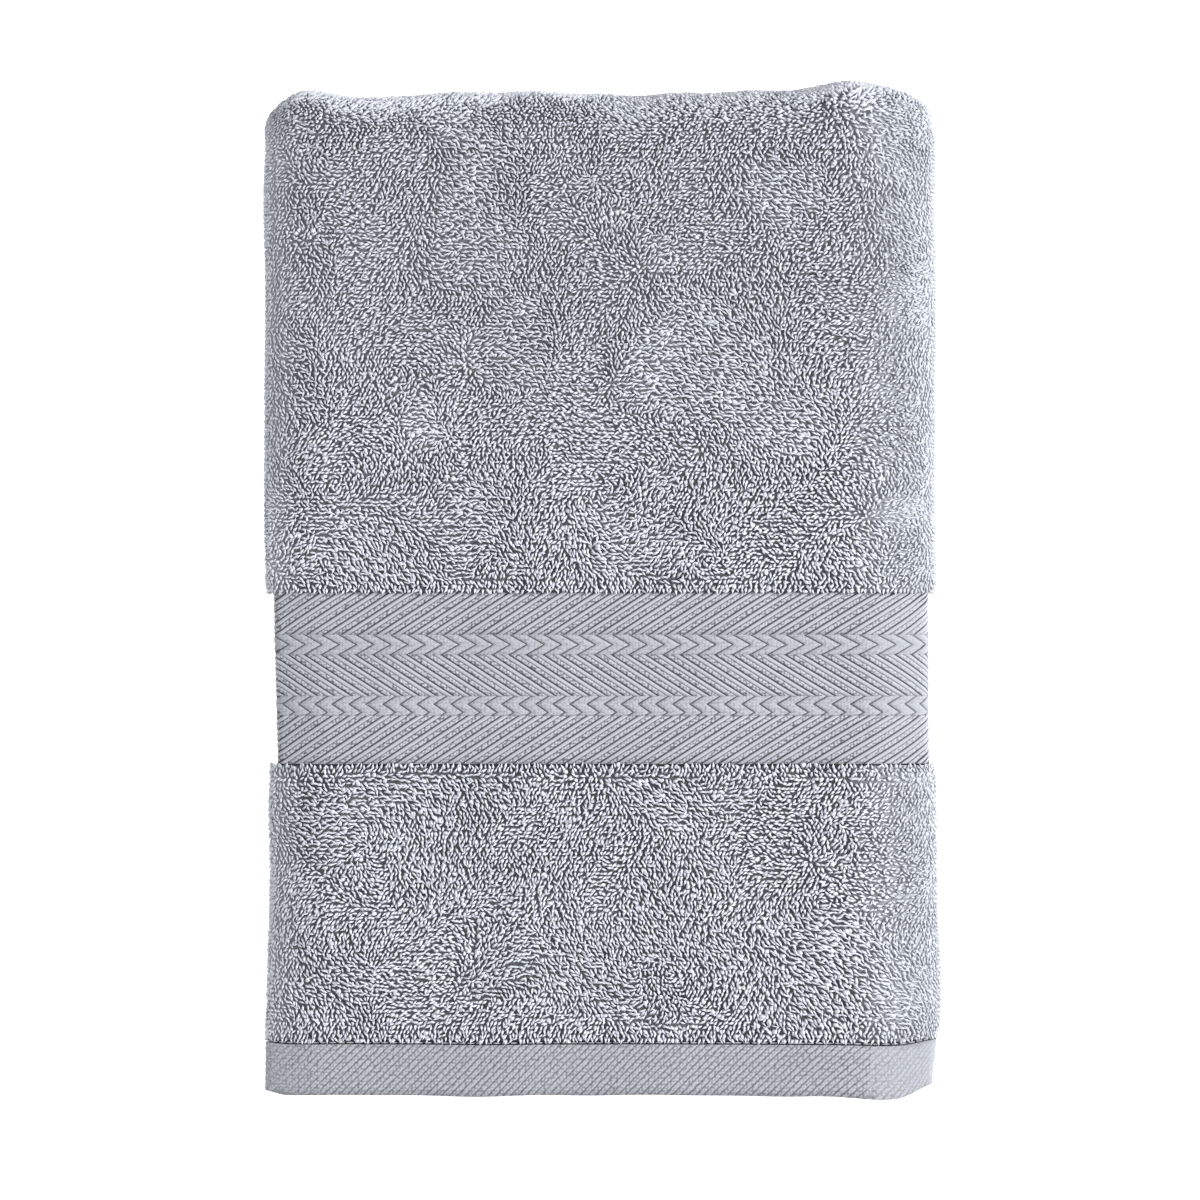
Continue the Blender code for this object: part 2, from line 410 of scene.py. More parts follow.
class Maker:
    def __init__(self, name):
        self.material = bpy.data.materials.new(name)
        self.material.use_nodes = True
        self.tree = self.material.node_tree
        self.shader = self.tree.nodes["Principled BSDF"]

    def node(self, kind, settings=None, inputs=None, output=0):
        made = self.tree.nodes.new(kind)
        for key, value in (settings or {}).items():
            setattr(made, key, value)
        for key, value in (inputs or {}).items():
            self.feed(made.inputs[key], value)
        return Socket(self, made.outputs[output])

    def feed(self, target, value):
        if isinstance(value, Socket):
            self.tree.links.new(value.output, target)
        else:
            target.default_value = value

    def set(self, **values):
        for key, value in values.items():
            self.feed(self.shader.inputs[key.replace("_", " ")], value)

    def mix(self, factor, first, second):
        return self.node("ShaderNodeMix", {"data_type": "RGBA"}, {0: factor, 6: first, 7: second}, output=2)

    def position(self):
        return self.node("ShaderNodeTexCoord", output="Object")

    def uvMap(self, name):
        return self.node("ShaderNodeUVMap", {"uv_map": name})

    def attribute(self, name):
        return self.node("ShaderNodeAttribute", {"attribute_name": name}, output="Fac")

    def split(self, vector):
        parts = self.node("ShaderNodeSeparateXYZ", {}, {0: vector}).output.node
        return [Socket(self, output) for output in parts.outputs]

    def noise(self, scale, detail):
        inputs = {"Vector": self.position(), "Scale": scale, "Detail": detail}
        return self.node("ShaderNodeTexNoise", {}, inputs)

    def bump(self, height, distance, strength=1.0):
        inputs = {"Height": height, "Distance": distance, "Strength": strength}
        return self.node("ShaderNodeBump", {}, inputs)


def grey(value, blue=1.09):
    # the towel's grey: a little blue in it
    return (value * 0.962, value, value * blue, 1.0)


fabricLook = {
    "tip": 0.62,              # a loop's tip and root, in the open pile, the root darkened with painted shade
    "root": 0.20,
    "closedTip": 0.44,        # the same where light and shade are painted in, at the sides and towards the last fold: the root painted lighter, the tip painted a shade darker
    "closedRoot": 0.42,
    # the ground cloth between the loops, painted near black as the shade there
    "ground": 0.07,
    "rib": 0.27,
    "pebble": 0.29,
    "flat": 0.25,
    # groove and under: painted shade, near black, in the dips between border strands and on the cloth under
    # them
    "groove": 0.04,
    "under": 0.05,
    "roughness": 0.92,
    "sheen": 0.12,
}


def finishFabric(maker, colour, normal=None):
    maker.set(Base_Color=colour, Roughness=fabricLook["roughness"], Sheen_Weight=fabricLook["sheen"])
    maker.set(Sheen_Roughness=0.5, Specular_IOR_Level=0.25)
    if normal is not None:
        maker.set(Normal=normal)
    return maker.material


def pileMaterial():
    maker = Maker("terryLoops")
    across, tip, _ = maker.split(maker.uvMap("yarn"))
    shade = maker.attribute("shade")
    # painted shade: each loop darkens from its tip down to its root, and towards both its edges
    risen = ((tip + 0.04) * 2.6).clamped()
    edge = ((1.0 - (across * 2.0 - 1.0) ** 2.0) * 2.0).clamped()
    fibre = maker.noise(2400.0, 1.0)
    lightness = risen * (0.68 + 0.5 * shade) * (0.58 + 0.42 * edge) * (0.8 + 0.4 * fibre)
    # painted light and shade: where this mask is up, the root is painted lighter and the tip a shade darker
    closed = maker.attribute("closed")
    root = maker.mix(closed, grey(fabricLook["root"]), grey(fabricLook["closedRoot"]))
    top = maker.mix(closed, grey(fabricLook["tip"]), grey(fabricLook["closedTip"]))
    colour = maker.mix(lightness.clamped(), root, top)
    return finishFabric(maker, colour, maker.bump(fibre, 0.00012, 0.5))


def weaveMaterial(name, value, fine, strength, closing=0.0):
    # flat woven cotton: threads over and under in both directions
    # painted light: it is painted lighter at the sides and towards the last fold, less so on the sides' own
    # bends
    maker = Maker(name)
    across, along, _ = maker.split(maker.uvMap("cloth"))
    turns = 2 * math.pi / fine
    weave = (across * turns).sine() * (along * turns).sine()
    grain = maker.noise(900.0, 3.0)
    thread = (0.5 + 0.3 * weave + 0.6 * (grain - 0.5)).clamped()
    colour = maker.mix(thread, grey(value * 0.72), grey(value * 1.1))
    if closing:
        towardsFold = (maker.split(maker.position())[1] * (1 / 0.12)).clamped()
        right = ((across - (halfWidth - 34 * mm)) * (1 / (28 * mm))).clamped()
        turned = ((across - (sideFolds(0)[1] + 3 * mm)) * (1 / (3 * mm))).clamped()
        left = ((0.0 - across - (halfWidth - 14 * mm)) * (1 / (10 * mm))).clamped()
        near = right * (1.0 - 0.5 * turned) + 0.4 * left + 0.14 * towardsFold
        colour = maker.mix(near.clamped(), colour, grey(closing))
    return finishFabric(maker, colour, maker.bump(weave * 0.5 + grain, 0.00012, strength))


def strandMaterial(name, value, pebble, grooveShare):
    # a raised rib of the border: painted shade where it dips to its neighbour, smooth or pebbly on top, with
    # painted shade in the dips between pebbles
    maker = Maker(name)
    across = maker.split(maker.uvMap("yarn"))[0]
    crown = (1.0 - (across * 2.0 - 1.0) ** 2.0).clamped()
    edge = (crown * (1.0 / grooveShare)).clamped()
    inputs = {"Vector": maker.position(), "Scale": 900.0, "Randomness": 0.6}
    spot = maker.node("ShaderNodeTexVoronoi", {"voronoi_dimensions": "2D"}, inputs)
    grain = maker.noise(1300.0, 2.0)
    pits = ((spot - 0.28) * 2.4).clamped()
    speck = (1.0 - pebble * pits + (0.5 + pebble * 0.5) * (grain - 0.5)).clamped()
    # painted light: towards the right side, which faces the main light, the painted shade in the grooves
    # fades and the tops even out
    near = ((maker.split(maker.position())[0] - (halfWidth - 28 * mm)) * (1 / (26 * mm))).clamped()
    top = maker.mix(speck, grey(value * 0.35), grey(value * 1.25))
    top = maker.mix(near * 0.7, top, grey(value * 1.05))
    groove = maker.mix(near, grey(fabricLook["groove"]), grey(value * 0.75))
    colour = maker.mix(edge, groove, top)
    height = grain * (0.3 + 0.7 * pebble) - spot * pebble
    return finishFabric(maker, colour, maker.bump(height, 0.00018, 0.35 + 0.5 * pebble))


materials = {
    "pile": pileMaterial(),
    "ground": weaveMaterial("terryGround", fabricLook["ground"], 0.0009, 0.5, fabricLook["closedRoot"]),
    "flat": weaveMaterial("flatWeave", fabricLook["flat"], 0.0008, 0.6),
    "under": weaveMaterial("borderGround", fabricLook["under"], 0.0008, 0.6),
    "rib": strandMaterial("smoothRib", fabricLook["rib"], 0.0, 0.35),
    "pebble": strandMaterial("pebblyRib", fabricLook["pebble"], 1.0, 0.45),
    "braid": strandMaterial("plaitedLeaf", fabricLook["rib"] * 0.95, 0.45, 0.30),
    "twill": strandMaterial("hemTwill", fabricLook["rib"] * 0.95, 0.7, 0.45),
    "thread": strandMaterial("sewingThread", fabricLook["rib"], 0.0, 0.3),
}
print("materials made")

# Ground cloth: a sheet for each zone, folded in thirds, with its thickness from Solidify


def clothSheet(name, stretch, sValues, draw, thickness, material, node, uLimits=None):
    low, high = uLimits or clothLimits(draw)
    firstX, lastX = sideFolds(draw)
    turnStart, turnEnd = firstX - math.pi * leafPitch / 2, lastX + math.pi * leafPitch
    shoulder = settleLook["rightWide"]
    marks = [(low, turnStart, 16), (turnStart, firstX, 12), (firstX, firstX + shoulder, 14)]
    marks += [(firstX + shoulder, lastX - shoulder, 36), (lastX - shoulder, lastX, 14)]
    marks += [(lastX, turnEnd, 14), (turnEnd, high, 16)]
    if uLimits:
        marks = [(low, high, 3)]
    u = np.concatenate([np.linspace(a, b, n, endpoint=False) for a, b, n in marks] + [[high]])
    s = np.asarray(sValues)
    gridU, gridS = np.meshgrid(u, s)
    points = place(stretch, gridU, gridS, 0.0, draw)
    wide = len(u)
    faces = []
    for row in range(len(s) - 1):
        for column in range(wide - 1):
            a = row * wide + column
            faces.append((a, a + 1, a + wide + 1, a + wide))
    piece = makePiece(name, points, faces, material)
    layer = piece.data.uv_layers.new(name="cloth")
    where = stretches[stretch]
    reach = 1.0 if "up" in where else where["radius"]
    values = np.stack([gridU.ravel(), gridS.ravel() * reach], 1)
    corner = np.zeros(len(piece.data.loops), np.int32)
    piece.data.loops.foreach_get("vertex_index", corner)
    layer.data.foreach_set("uv", values[corner].astype(np.float32).ravel())
    deselectAll()
    piece.select_set(True)
    bpy.context.view_layer.objects.active = piece
    wall = piece.modifiers.new("thickness", "SOLIDIFY")
    wall.thickness = thickness
    wall.offset = 0.0
    bpy.ops.object.modifier_apply(modifier=wall.name)
    bpy.ops.object.mode_set(mode="EDIT")
    bpy.ops.mesh.select_all(action="SELECT")
    bpy.ops.mesh.normals_make_consistent(inside=False)
    bpy.ops.object.mode_set(mode="OBJECT")
    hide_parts(node)
    return piece


clothLook = {
    "ground": 1.0 * mm,       # terry's ground cloth, loops left out
    "border": 1.1 * mm,
    "hem": 2.0 * mm,
    "selvedge": 1.5 * mm,
}


def layerSteps(start, end, step=0.006):
    return np.linspace(start, end, max(3, round((end - start) / step) + 1))


def bendSteps(count=18):
    return np.linspace(0, math.pi, count + 1)


bodies = {
    "bottom": "lower_half", "middle": "lower_half", "back": "upper_half", "front": "upper_half",
    "firstFold": "lower_half",
}


def join(piece, stretch, slot):
    # onto its body, or, where it belongs to the last fold, left on its own with its transform baked in
    if stretch == "outerFold":
        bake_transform(piece)
    elif stretch == "innerFold":
        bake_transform(piece)
    else:
        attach(piece, bodies[stretch])
    return piece


sheets = {}
zones = [
    ("frontBodyCloth", "front", layerSteps(bodyLow.y - 0.3 * mm, axisY), 0, "ground", "ground",
     "front_body", "terry"),
    ("frontBorderCloth", "front", layerSteps(borderLow.y, borderHigh.y), borderDraw, "border", "under",
     "front_border", "border"),
    ("frontShortPileCloth", "front", layerSteps(pileLow.y, pileHigh.y), 0, "ground", "ground",
     "front_short_pile", "terry"),
    ("frontHemCloth", "front", layerSteps(hemLow.y, hemHigh.y, 0.003), 0, "hem", "flat", "front_hem", "hem"),
    ("backBodyCloth", "back", layerSteps(bodyLow.y - 0.3 * mm, axisY), 0, "ground", "ground",
     "back_body", "terry"),
    ("backBorderCloth", "back", layerSteps(borderLow.y, borderHigh.y), borderDraw, "border", "under",
     "back_border", "border"),
    ("backShortPileCloth", "back", layerSteps(pileLow.y, pileHigh.y), 0, "ground", "ground",
     "back_short_pile", "terry"),
    ("backHemCloth", "back", layerSteps(hemLow.y, hemHigh.y, 0.003), 0, "hem", "flat", "back_hem", "hem"),
    ("bottomCloth", "bottom", layerSteps(firstFoldY, axisY), 0, "ground", "ground", "bottom_body", "terry"),
    ("middleCloth", "middle", layerSteps(firstFoldY, axisY), 0, "ground", "ground", "middle_body", "terry"),
    ("firstFoldCloth", "firstFold", bendSteps(), 0, "ground", "ground", "first_fold", "terry"),
    ("innerFoldCloth", "innerFold", bendSteps(), 0, "ground", "ground", "inner_fold", "terry"),
    ("outerFoldCloth", "outerFold", bendSteps(), 0, "ground", "ground", "outer_fold", "terry"),
]
for name, stretch, steps, draw, thick, finish, node, slot in zones:
    sheets[name] = clothSheet(name, stretch, steps, draw, clothLook[thick], materials[finish], node)
    join(sheets[name], stretch, slot)

stripWide = innerStripHigh.x - innerStripLow.x
cadLayers = {"front": "front", "back": "back", "bottom": "bottom", "middle": "middle"}
cadLayers.update({"firstFold": "first_fold", "innerFold": "inner_fold", "outerFold": "outer_fold"})
for stretch, cadName in cadLayers.items():
    if stretch in ("front", "back"):
        steps = layerSteps(frontY, axisY)
    elif stretch in ("bottom", "middle"):
        steps = layerSteps(firstFoldY, axisY)
    else:
        steps = bendSteps()
    low, high = clothLimits(0)
    strips = {"inner": (low - stripWide, low - 0.3 * mm), "outer": (high + 0.3 * mm, high + stripWide)}
    for side, limits in strips.items():
        name = f"{stretch}{side.title()}Selvedge"
        node = f"{cadName}_{side}_selvedge"
        thick = clothLook["selvedge"]
        sheets[name] = clothSheet(name, stretch, steps, 0, thick, materials["flat"], node, uLimits=limits)
        join(sheets[name], stretch, "selvedge")
print("ground cloth, hems and selvedges made")

# The pile: one loop of yarn, modelled once and copied over the ground cloth


def loopTemplate(look):
    deselectAll()
    bpy.ops.mesh.primitive_torus_add(
        major_segments=look["segments"], minor_segments=look["sides"],
        major_radius=look["wide"] / 2, minor_radius=look["yarn"] / 2,
        rotation=(math.pi / 2, 0, 0),
    )
    loop = bpy.context.object
    bpy.ops.object.transform_apply(location=True, rotation=True, scale=True)
    bpy.ops.object.mode_set(mode="EDIT")
    bpy.ops.mesh.select_all(action="SELECT")
    bpy.ops.mesh.bisect(plane_co=(0, 0, 0), plane_no=(0, 0, 1), clear_inner=True, use_fill=True)
    bpy.ops.mesh.select_all(action="SELECT")
    bpy.ops.mesh.normals_make_consistent(inside=False)
    bpy.ops.object.mode_set(mode="OBJECT")
    points, faces = takeMesh(loop)
    top = points[:, 2].max()
    points[:, 2] *= look["tall"] / top
    tip = points[:, 2] / look["tall"]
    across = points[:, 1] / np.abs(points[:, 1]).max() / 2 + 0.5
    return {"points": points, "faces": faces, "yarn": np.stack([across, tip], 1), "tall": look["tall"]}


pileLook = {
    "fine": {"segments": 6, "sides": 3, "wide": 0.98 * mm, "yarn": 1.10 * mm, "tall": 1.0},
    "plain": {"segments": 4, "sides": 3, "wide": 1.30 * mm, "yarn": 1.45 * mm, "tall": 1.0},
    "pitch": 1.42 * mm,
    "jitter": 0.26,           # of the pitch
    "lean": 1.15 * mm,        # how far a loop's tip lies over
    "rise": 1.75 * mm,        # loops that stand free
    "pressed": 1.05 * mm,     # loops that lie against another layer
    "stray": 0.42,            # how far single loops turn from their patch's way, in radians
    "twist": 0.32,            # how far they turn on their own foot
    "crosswise": 0.08,        # share of loops that stand across
    "curl": 0.22 * mm,
    "foldSpread": 1.5 * mm,   # how much further out than the cloth's middle the loops sit on a side fold
    "edgeOver": 3 * mm,       # how far the loops go on past a side fold
    "lightTurn": 0.2,         # which way the main light comes from, about Z
    "shadeSpread": 0.20,
    "hidden": 0.33,           # density of the pile between the layers
    "sides": 0.6,             # and on the lower layers' sides
}
fineLoop, plainLoop = loopTemplate(pileLook["fine"]), loopTemplate(pileLook["plain"])
print("loops have", len(fineLoop["faces"]), "and", len(plainLoop["faces"]), "faces")
firstX, lastX = sideFolds(0)
turnLow, turnHigh = firstX - math.pi * leafPitch / 2, lastX + math.pi * leafPitch
combX, combY = clouds(21, 0.026), clouds(22, 0.026)
standField = clouds(23, 0.014, 3)


def loopGrid(uLow, uHigh, sLow, sHigh, pitch, reach):
    # rows along the cloth, every other one shifted by half a pitch; reach turns length into s
    # round a side fold the outer face is longer than the cloth's middle, so the loops stand closer there
    stops = np.array([turnLow - 50 * mm, turnLow, firstX, lastX, turnHigh, turnHigh + 50 * mm])
    spread = pileLook["foldSpread"] / leafPitch
    wider = np.array([1, 1 + spread * 2, 1, 1 + spread, 1])
    length = np.concatenate([[0], np.cumsum(np.diff(stops) * wider)])
    uLow, uHigh = np.interp((uLow, uHigh), stops, length)
    columns = max(1, round((uHigh - uLow) / pitch))
    rows = max(1, round((sHigh - sLow) * reach / pitch))
    u, s = np.meshgrid((np.arange(columns) + 0.5) / columns, (np.arange(rows) + 0.5) / rows)
    u = u + 0.25 * (np.arange(rows) % 2 * 2 - 1)[:, None] / columns
    shake = pileLook["jitter"]
    u = u + rng.uniform(-shake, shake, u.shape) / columns
    s = s + rng.uniform(-shake, shake, s.shape) / rows
    return np.interp(uLow + u.ravel() * (uHigh - uLow), length, stops), sLow + s.ravel() * (sHigh - sLow)


def edges(stretch, y):
    # how strongly the pile hangs over flat cloth beside it, below zero where that cloth is at -Y
    if stretch not in ("front", "back"):
        return np.zeros_like(y)
    return bump(y, pileHigh.y, 4 * mm) - bump(y, bodyLow.y, 4 * mm) - bump(y, pileLow.y, 5 * mm)


def shoulderSlope(u):
    # how far a loop turns outwards where the sides of the folded towel fall away
    wide = np.where(u > 0, settleLook["rightWide"], settleLook["leftWide"])
    fall = np.where(u > 0, settleLook["rightFall"], settleLook["leftFall"])
    past = np.clip((np.abs(u) - (halfWidth - wide)) / wide, 0, 1)
    return np.sign(u) * 1.5 * fall * stackHigh / wide * np.sqrt(past)


def growPile(name, stretch, uLimits, sLimits, rise, template, density=1.0, lean=1.0):
    where = stretches[stretch]
    outer = leafPitch + terryThick / 2
    reach = 1.0 if "up" in where else where["radius"] + where["out"] * outer
    reach = max(reach, 2 * mm)
    pitch = pileLook["pitch"] / math.sqrt(density)
    u, s = loopGrid(*uLimits, *sLimits, pitch, reach)
    count = len(u)
    # over the last fold s runs the other way
    at = axisY + (math.pi - s) * reach if stretch == "outerFold" else s * reach
    sense = -1 if stretch == "outerFold" else 1
    # the way the pile lies: in patches, but towards the flat cloth beside a border or hem
    besideFlat = edges(stretch, at)
    free = 1 - np.abs(besideFlat)
    side = np.clip((np.abs(u) - (halfWidth - 14 * mm)) / (10 * mm), 0, 1)
    vx = (combX(u, at) + 0.15) * free * (1 - 0.75 * side)
    vy = (combY(u, at) * 0.7 - 0.6 - 0.4 * side) * free + 1.1 * besideFlat
    flow = np.arctan2(vy, vx) + rng.normal(0, pileLook["stray"], count) * (1 - 0.3 * side)
    stand = standField(u, at) * 0.22 + rng.normal(0, 0.15, count)
    tall = rise * np.clip(0.92 - 0.35 * stand, 0.6, 1.25) * (1 - 0.4 * side)
    strength = np.hypot(vx, vy) * 0.25 + 0.75 + rng.normal(0, 0.18, count)
    over = pileLook["lean"] * lean * np.clip(strength, 0.1, 1.5)
    across = np.where(rng.random(count) < pileLook["crosswise"], math.pi / 2, 0.0)
    turn = flow + across + rng.normal(0, pileLook["twist"], count)
    wide = rng.uniform(0.85, 1.15, count)
    curl = rng.normal(0, pileLook["curl"], count)
    local = template["points"]
    t = np.clip(local[:, 2], 0, 1)[None]
    px = local[:, 0][None] * wide[:, None]
    py = local[:, 1][None] * wide[:, None]
    bend = t ** 1.7
    cosTurn, sinTurn = np.cos(turn)[:, None], np.sin(turn)[:, None]
    cosFlow, sinFlow = np.cos(flow)[:, None], np.sin(flow)[:, None]
    du = px * cosTurn - py * sinTurn + over[:, None] * cosFlow * bend - curl[:, None] * sinFlow * bend * t
    ds = px * sinTurn + py * cosTurn + over[:, None] * sinFlow * bend + curl[:, None] * cosFlow * bend * t
    ds = ds * sense
    du = du + (tall * shoulderSlope(u))[:, None] * t
    height = clothLook["ground"] / 2 - 0.15 * mm + tall[:, None] * (1 - (1 - t) ** 1.15)
    placed = place(stretch, u[:, None] + du, s[:, None] + ds / reach, height)
    placed = placed.reshape(count, len(local), 3)
    # loops that lean towards the light would all look pale together, so theirs is a shade darker
    facing = np.cos(flow - pileLook["lightTurn"])
    shade = np.clip(0.5 + pileLook["shadeSpread"] * (rng.normal(0, 1, count) - facing), 0, 1)
    # painted light and shade: at the sides and towards the last fold the roots are painted lighter and the
    # tips darker, and towards the last fold and at the left edge the loops are painted lighter
    fromSide = halfWidth - np.abs(u)
    nearLeft = 0.9 * smooth((9 * mm - fromSide) / (8 * mm))
    towardsFold = smooth(at / 0.12)
    closed = np.where(u > 0, smooth((34 * mm - fromSide) / (28 * mm)), nearLeft)
    closed = np.clip(closed + 0.6 * towardsFold, 0, 1)
    shade = np.clip(shade + 0.25 * towardsFold + 0.3 * np.where(u < 0, nearLeft, 0), 0, 1.3)
    piece = makeCopies(name, template, placed, materials["pile"], {"shade": shade, "closed": closed})
    join(piece, stretch, "terry")
    return piece


def slices(low, high, count):
    stops = np.linspace(low, high, count + 1)
    return list(zip(stops[:-1], stops[1:]))


free, pressed, hidden = pileLook["rise"], pileLook["pressed"], pileLook["hidden"]
edgeOver = pileLook["edgeOver"]
pileStart, pileEnd = turnLow - edgeOver, turnHigh + edgeOver
sideLimits = {"Left": (pileStart, firstX), "Right": (lastX, pileEnd)}
wholeTurn = (0, math.pi)
for k, limits in enumerate(slices(pileStart, pileEnd, 3)):
    growPile(f"frontBodyPile{k}", "front", limits, (bodyLow.y, axisY + 0.3 * mm), free, fineLoop)
for k, limits in enumerate(slices(pileStart, pileEnd, 2)):
    growPile(f"frontShortPile{k}", "front", limits, (pileLow.y, pileHigh.y), free, fineLoop)
    growPile(f"outerFoldPile{k}", "outerFold", limits, wholeTurn, free, fineLoop)
print("front pile grown")
growPile("firstFoldPile", "firstFold", (turnLow, turnHigh), wholeTurn, free, plainLoop, 0.9)
for stretch in ("bottom", "middle"):
    growPile(f"{stretch}Pile", stretch, (firstX, lastX), (firstFoldY, axisY), pressed, plainLoop, hidden)
for zone, low, high in (("Body", bodyLow.y, axisY), ("ShortPile", pileLow.y, pileHigh.y)):
    growPile(f"back{zone}Pile", "back", (firstX, lastX), (low, high), pressed, plainLoop, hidden)
growPile("innerFoldPile", "innerFold", (firstX, lastX), wholeTurn, 0.6 * mm, plainLoop, 0.8, 0.3)
for side, limits in sideLimits.items():
    growPile(f"innerFold{side}SidePile", "innerFold", limits, wholeTurn, free * 0.85, plainLoop, 2.5, 0.6)
sideRuns = {
    "bottom": [(firstFoldY, axisY)], "middle": [(firstFoldY, axisY)],
    "back": [(bodyLow.y, axisY), (pileLow.y, pileHigh.y)],
}
for stretch, runs in sideRuns.items():
    for k, run in enumerate(runs):
        for side, limits in sideLimits.items():
            name = f"{stretch}{side}SidePile{k}"
            growPile(name, stretch, limits, run, free * 0.85, plainLoop, pileLook["sides"], 0.8)
print("side, bottom and inner pile grown")

# The border: ribs and plaits that stand on flat cloth, each modelled once and copied


def strandTemplate(steps, across):
    # a flat strip with a crowned top and closed ends: a from 0 to 1 along it, b across, c its height
    deselectAll()
    bpy.ops.mesh.primitive_cube_add(size=1, location=(0.5, 0, 0.5))
    strip = bpy.context.object
    bpy.ops.object.transform_apply(location=True, rotation=True, scale=True)
    bpy.ops.object.mode_set(mode="EDIT")
    bpy.ops.mesh.select_all(action="SELECT")
    for axis, parts in ((0, steps), (1, across)):
        for cut in range(1, parts):
            spot, normal = [0, 0, 0], [0, 0, 0]
            spot[axis] = cut / parts - (0.5 if axis == 1 else 0)
            normal[axis] = 1
            bpy.ops.mesh.select_all(action="SELECT")
            bpy.ops.mesh.bisect(plane_co=spot, plane_no=normal)
    bpy.ops.object.mode_set(mode="OBJECT")
    points, faces = takeMesh(strip)
    yarn = np.stack([points[:, 1] + 0.5, points[:, 0]], 1)
    return {"points": points, "faces": faces, "yarn": yarn}


borderLook = {
    "repeat": 6.0 * mm,
    "slope": math.radians(33),
    "ribShare": 0.42,
    "groove": 0.10,
    "ribHigh": 0.42 * mm,
    "pebbleHigh": 0.34 * mm,
    "plaitHigh": 0.40 * mm,
    "plaitSlope": math.radians(30),
    # how a plait's leaf runs: share of the row's length, and shift across
    "arrow": [(0, -1), (0.5, 0), (1, -1)],
    "hook": [(0, 0.1), (1 / 6, 0.42), (7 / 12, -0.28), (1, 0.48)],
    "sink": 0.25 * mm,         # how deep a strand's foot lies in the flat cloth
    # rows from the hem side up, as shares of the border's length
    "rows": [
        ("slant", 0.005, 0.285, 1), ("hook", 0.285, 0.40, 1), ("slant", 0.40, 0.640, -1),
        ("arrow", 0.640, 0.755, 1), ("slant", 0.755, 1.0, 1),
    ],
}
ribStrip, plaitStrip, bentStrip = strandTemplate(6, 4), strandTemplate(12, 4), strandTemplate(36, 4)


def zigzag(a, turns):
    # a broken line through (a, value) pairs
    stops, values = zip(*turns)
    return np.interp(a, stops, values)


def growStrands(
    name, rows, shift, width, offset, tallest, plain, material, stretch, draw, slot, repeat, lift,
):
    # strands side by side between two rows: plain strips on the flat, finely cut ones round the side folds
    low, high = rows
    firstEdge, lastEdge = sideFolds(draw)
    uLow, uHigh = firstEdge - math.pi * leafPitch / 2, lastEdge + math.pi * leafPitch
    for part, strip in (("Flat", plain), ("Bent", bentStrip)):
        local = strip["points"]
        a, b, c = local[:, 0], local[:, 1], local[:, 2]
        slide = shift(a)
        first = math.floor((uLow - slide.max()) / repeat)
        last = math.ceil((uHigh - slide.min()) / repeat)
        start = (np.arange(first, last + 1) + offset) * repeat
        u = start[:, None] + slide[None] + b[None] * width
        u = np.clip(u, uLow - edgeOver, uHigh + edgeOver)
        flat = (u.min(1) > firstEdge) & (u.max(1) < lastEdge)
        u = u[flat] if part == "Flat" else u[~flat & (u.max(1) - u.min(1) > 0.3 * width)]
        ends = np.clip(np.minimum(a, 1 - a) / 0.06, 0, 1) ** 0.5
        crown = tallest * (1 - (2 * b) ** 2 * 0.92) * (0.45 + 0.55 * ends)
        shake = 1 + 0.12 * rng.normal(0, 1, (len(u), 1))
        height = np.where(c[None] > 0.5, lift + crown[None] * shake, lift - borderLook["sink"])
        s = np.broadcast_to((low + a * (high - low))[None], u.shape)
        placed = place(stretch, u, s, height, draw).reshape(len(u), len(local), 3)
        join(makeCopies(name + part, strip, placed, material, {}), stretch, slot)


def growBorder(stretch, low, high):
    look = borderLook
    lift = clothLook["border"] / 2
    for k, (kind, start, end, way) in enumerate(look["rows"]):
        s0, s1 = low + start * (high - low), low + end * (high - low)
        tall = s1 - s0
        repeat = look["repeat"]
        args = {"stretch": stretch, "draw": borderDraw, "slot": "border", "repeat": repeat, "lift": lift}
        if kind == "slant":
            run = way * tall / math.tan(look["slope"])
            share, gap = look["ribShare"], look["groove"]
            beyond = share + (1 - share) / 2 - way * gap / 2
            for part, width, offset, tallest in (
                ("rib", share * 0.98, share / 2, look["ribHigh"]),
                ("pebble", 1 - share - gap, beyond, look["pebbleHigh"]),
            ):
                growStrands(
                    f"{stretch}Border{part.title()}{k}", (s0, s1), lambda a: a * run, width * repeat,
                    offset, tallest, ribStrip, materials[part], **args,
                )
        else:
            reach = tall / 2 / math.tan(look["plaitSlope"])
            turns = [(stop, value * reach) for stop, value in look[kind]]
            growStrands(
                f"{stretch}BorderPlait{k}", (s0, s1), lambda a: zigzag(a, turns), repeat * 0.96,
                0.1 * k, look["plaitHigh"], plaitStrip, materials["braid"], **args,
            )


for stretch in ("front", "back"):
    growBorder(stretch, borderLow.y, borderHigh.y)
print("borders woven")

# The hems: slanting twill on the cloth that is turned under, and a row of stitches along the seam
hemLook = {"repeat": 2.7 * mm, "slope": math.radians(46), "high": 0.16 * mm}
hemRun = (hemHigh.y - hemLow.y) / math.tan(hemLook["slope"])
for stretch in ("front", "back"):
    growStrands(
        f"{stretch}HemTwill", (hemLow.y, hemHigh.y), lambda a: a * hemRun, hemLook["repeat"] * 0.95, 0.0,
        hemLook["high"], ribStrip, materials["twill"], stretch, 0.0, "hem", hemLook["repeat"],
        clothLook["hem"] / 2,
    )

stitchLook = {"length": 3.0 * mm, "thick": 0.55 * mm, "sink": 0.30 * mm}


def stitchTemplate():
    deselectAll()
    bpy.ops.mesh.primitive_uv_sphere_add(segments=6, ring_count=4, radius=0.5, rotation=(0, math.pi / 2, 0))
    stitch = bpy.context.object
    bpy.ops.object.transform_apply(location=True, rotation=True, scale=True)
    bpy.ops.object.mode_set(mode="EDIT")
    bpy.ops.mesh.select_all(action="SELECT")
    bpy.ops.transform.resize(value=(stitchLook["length"] * 0.9, stitchLook["thick"], stitchLook["thick"]))
    bpy.ops.object.mode_set(mode="OBJECT")
    points, faces = takeMesh(stitch)
    yarn = np.stack([points[:, 0] / stitchLook["length"] + 0.5, points[:, 2] / stitchLook["thick"] + 0.5], 1)
    return {"points": points, "faces": inOrder(faces), "yarn": yarn}


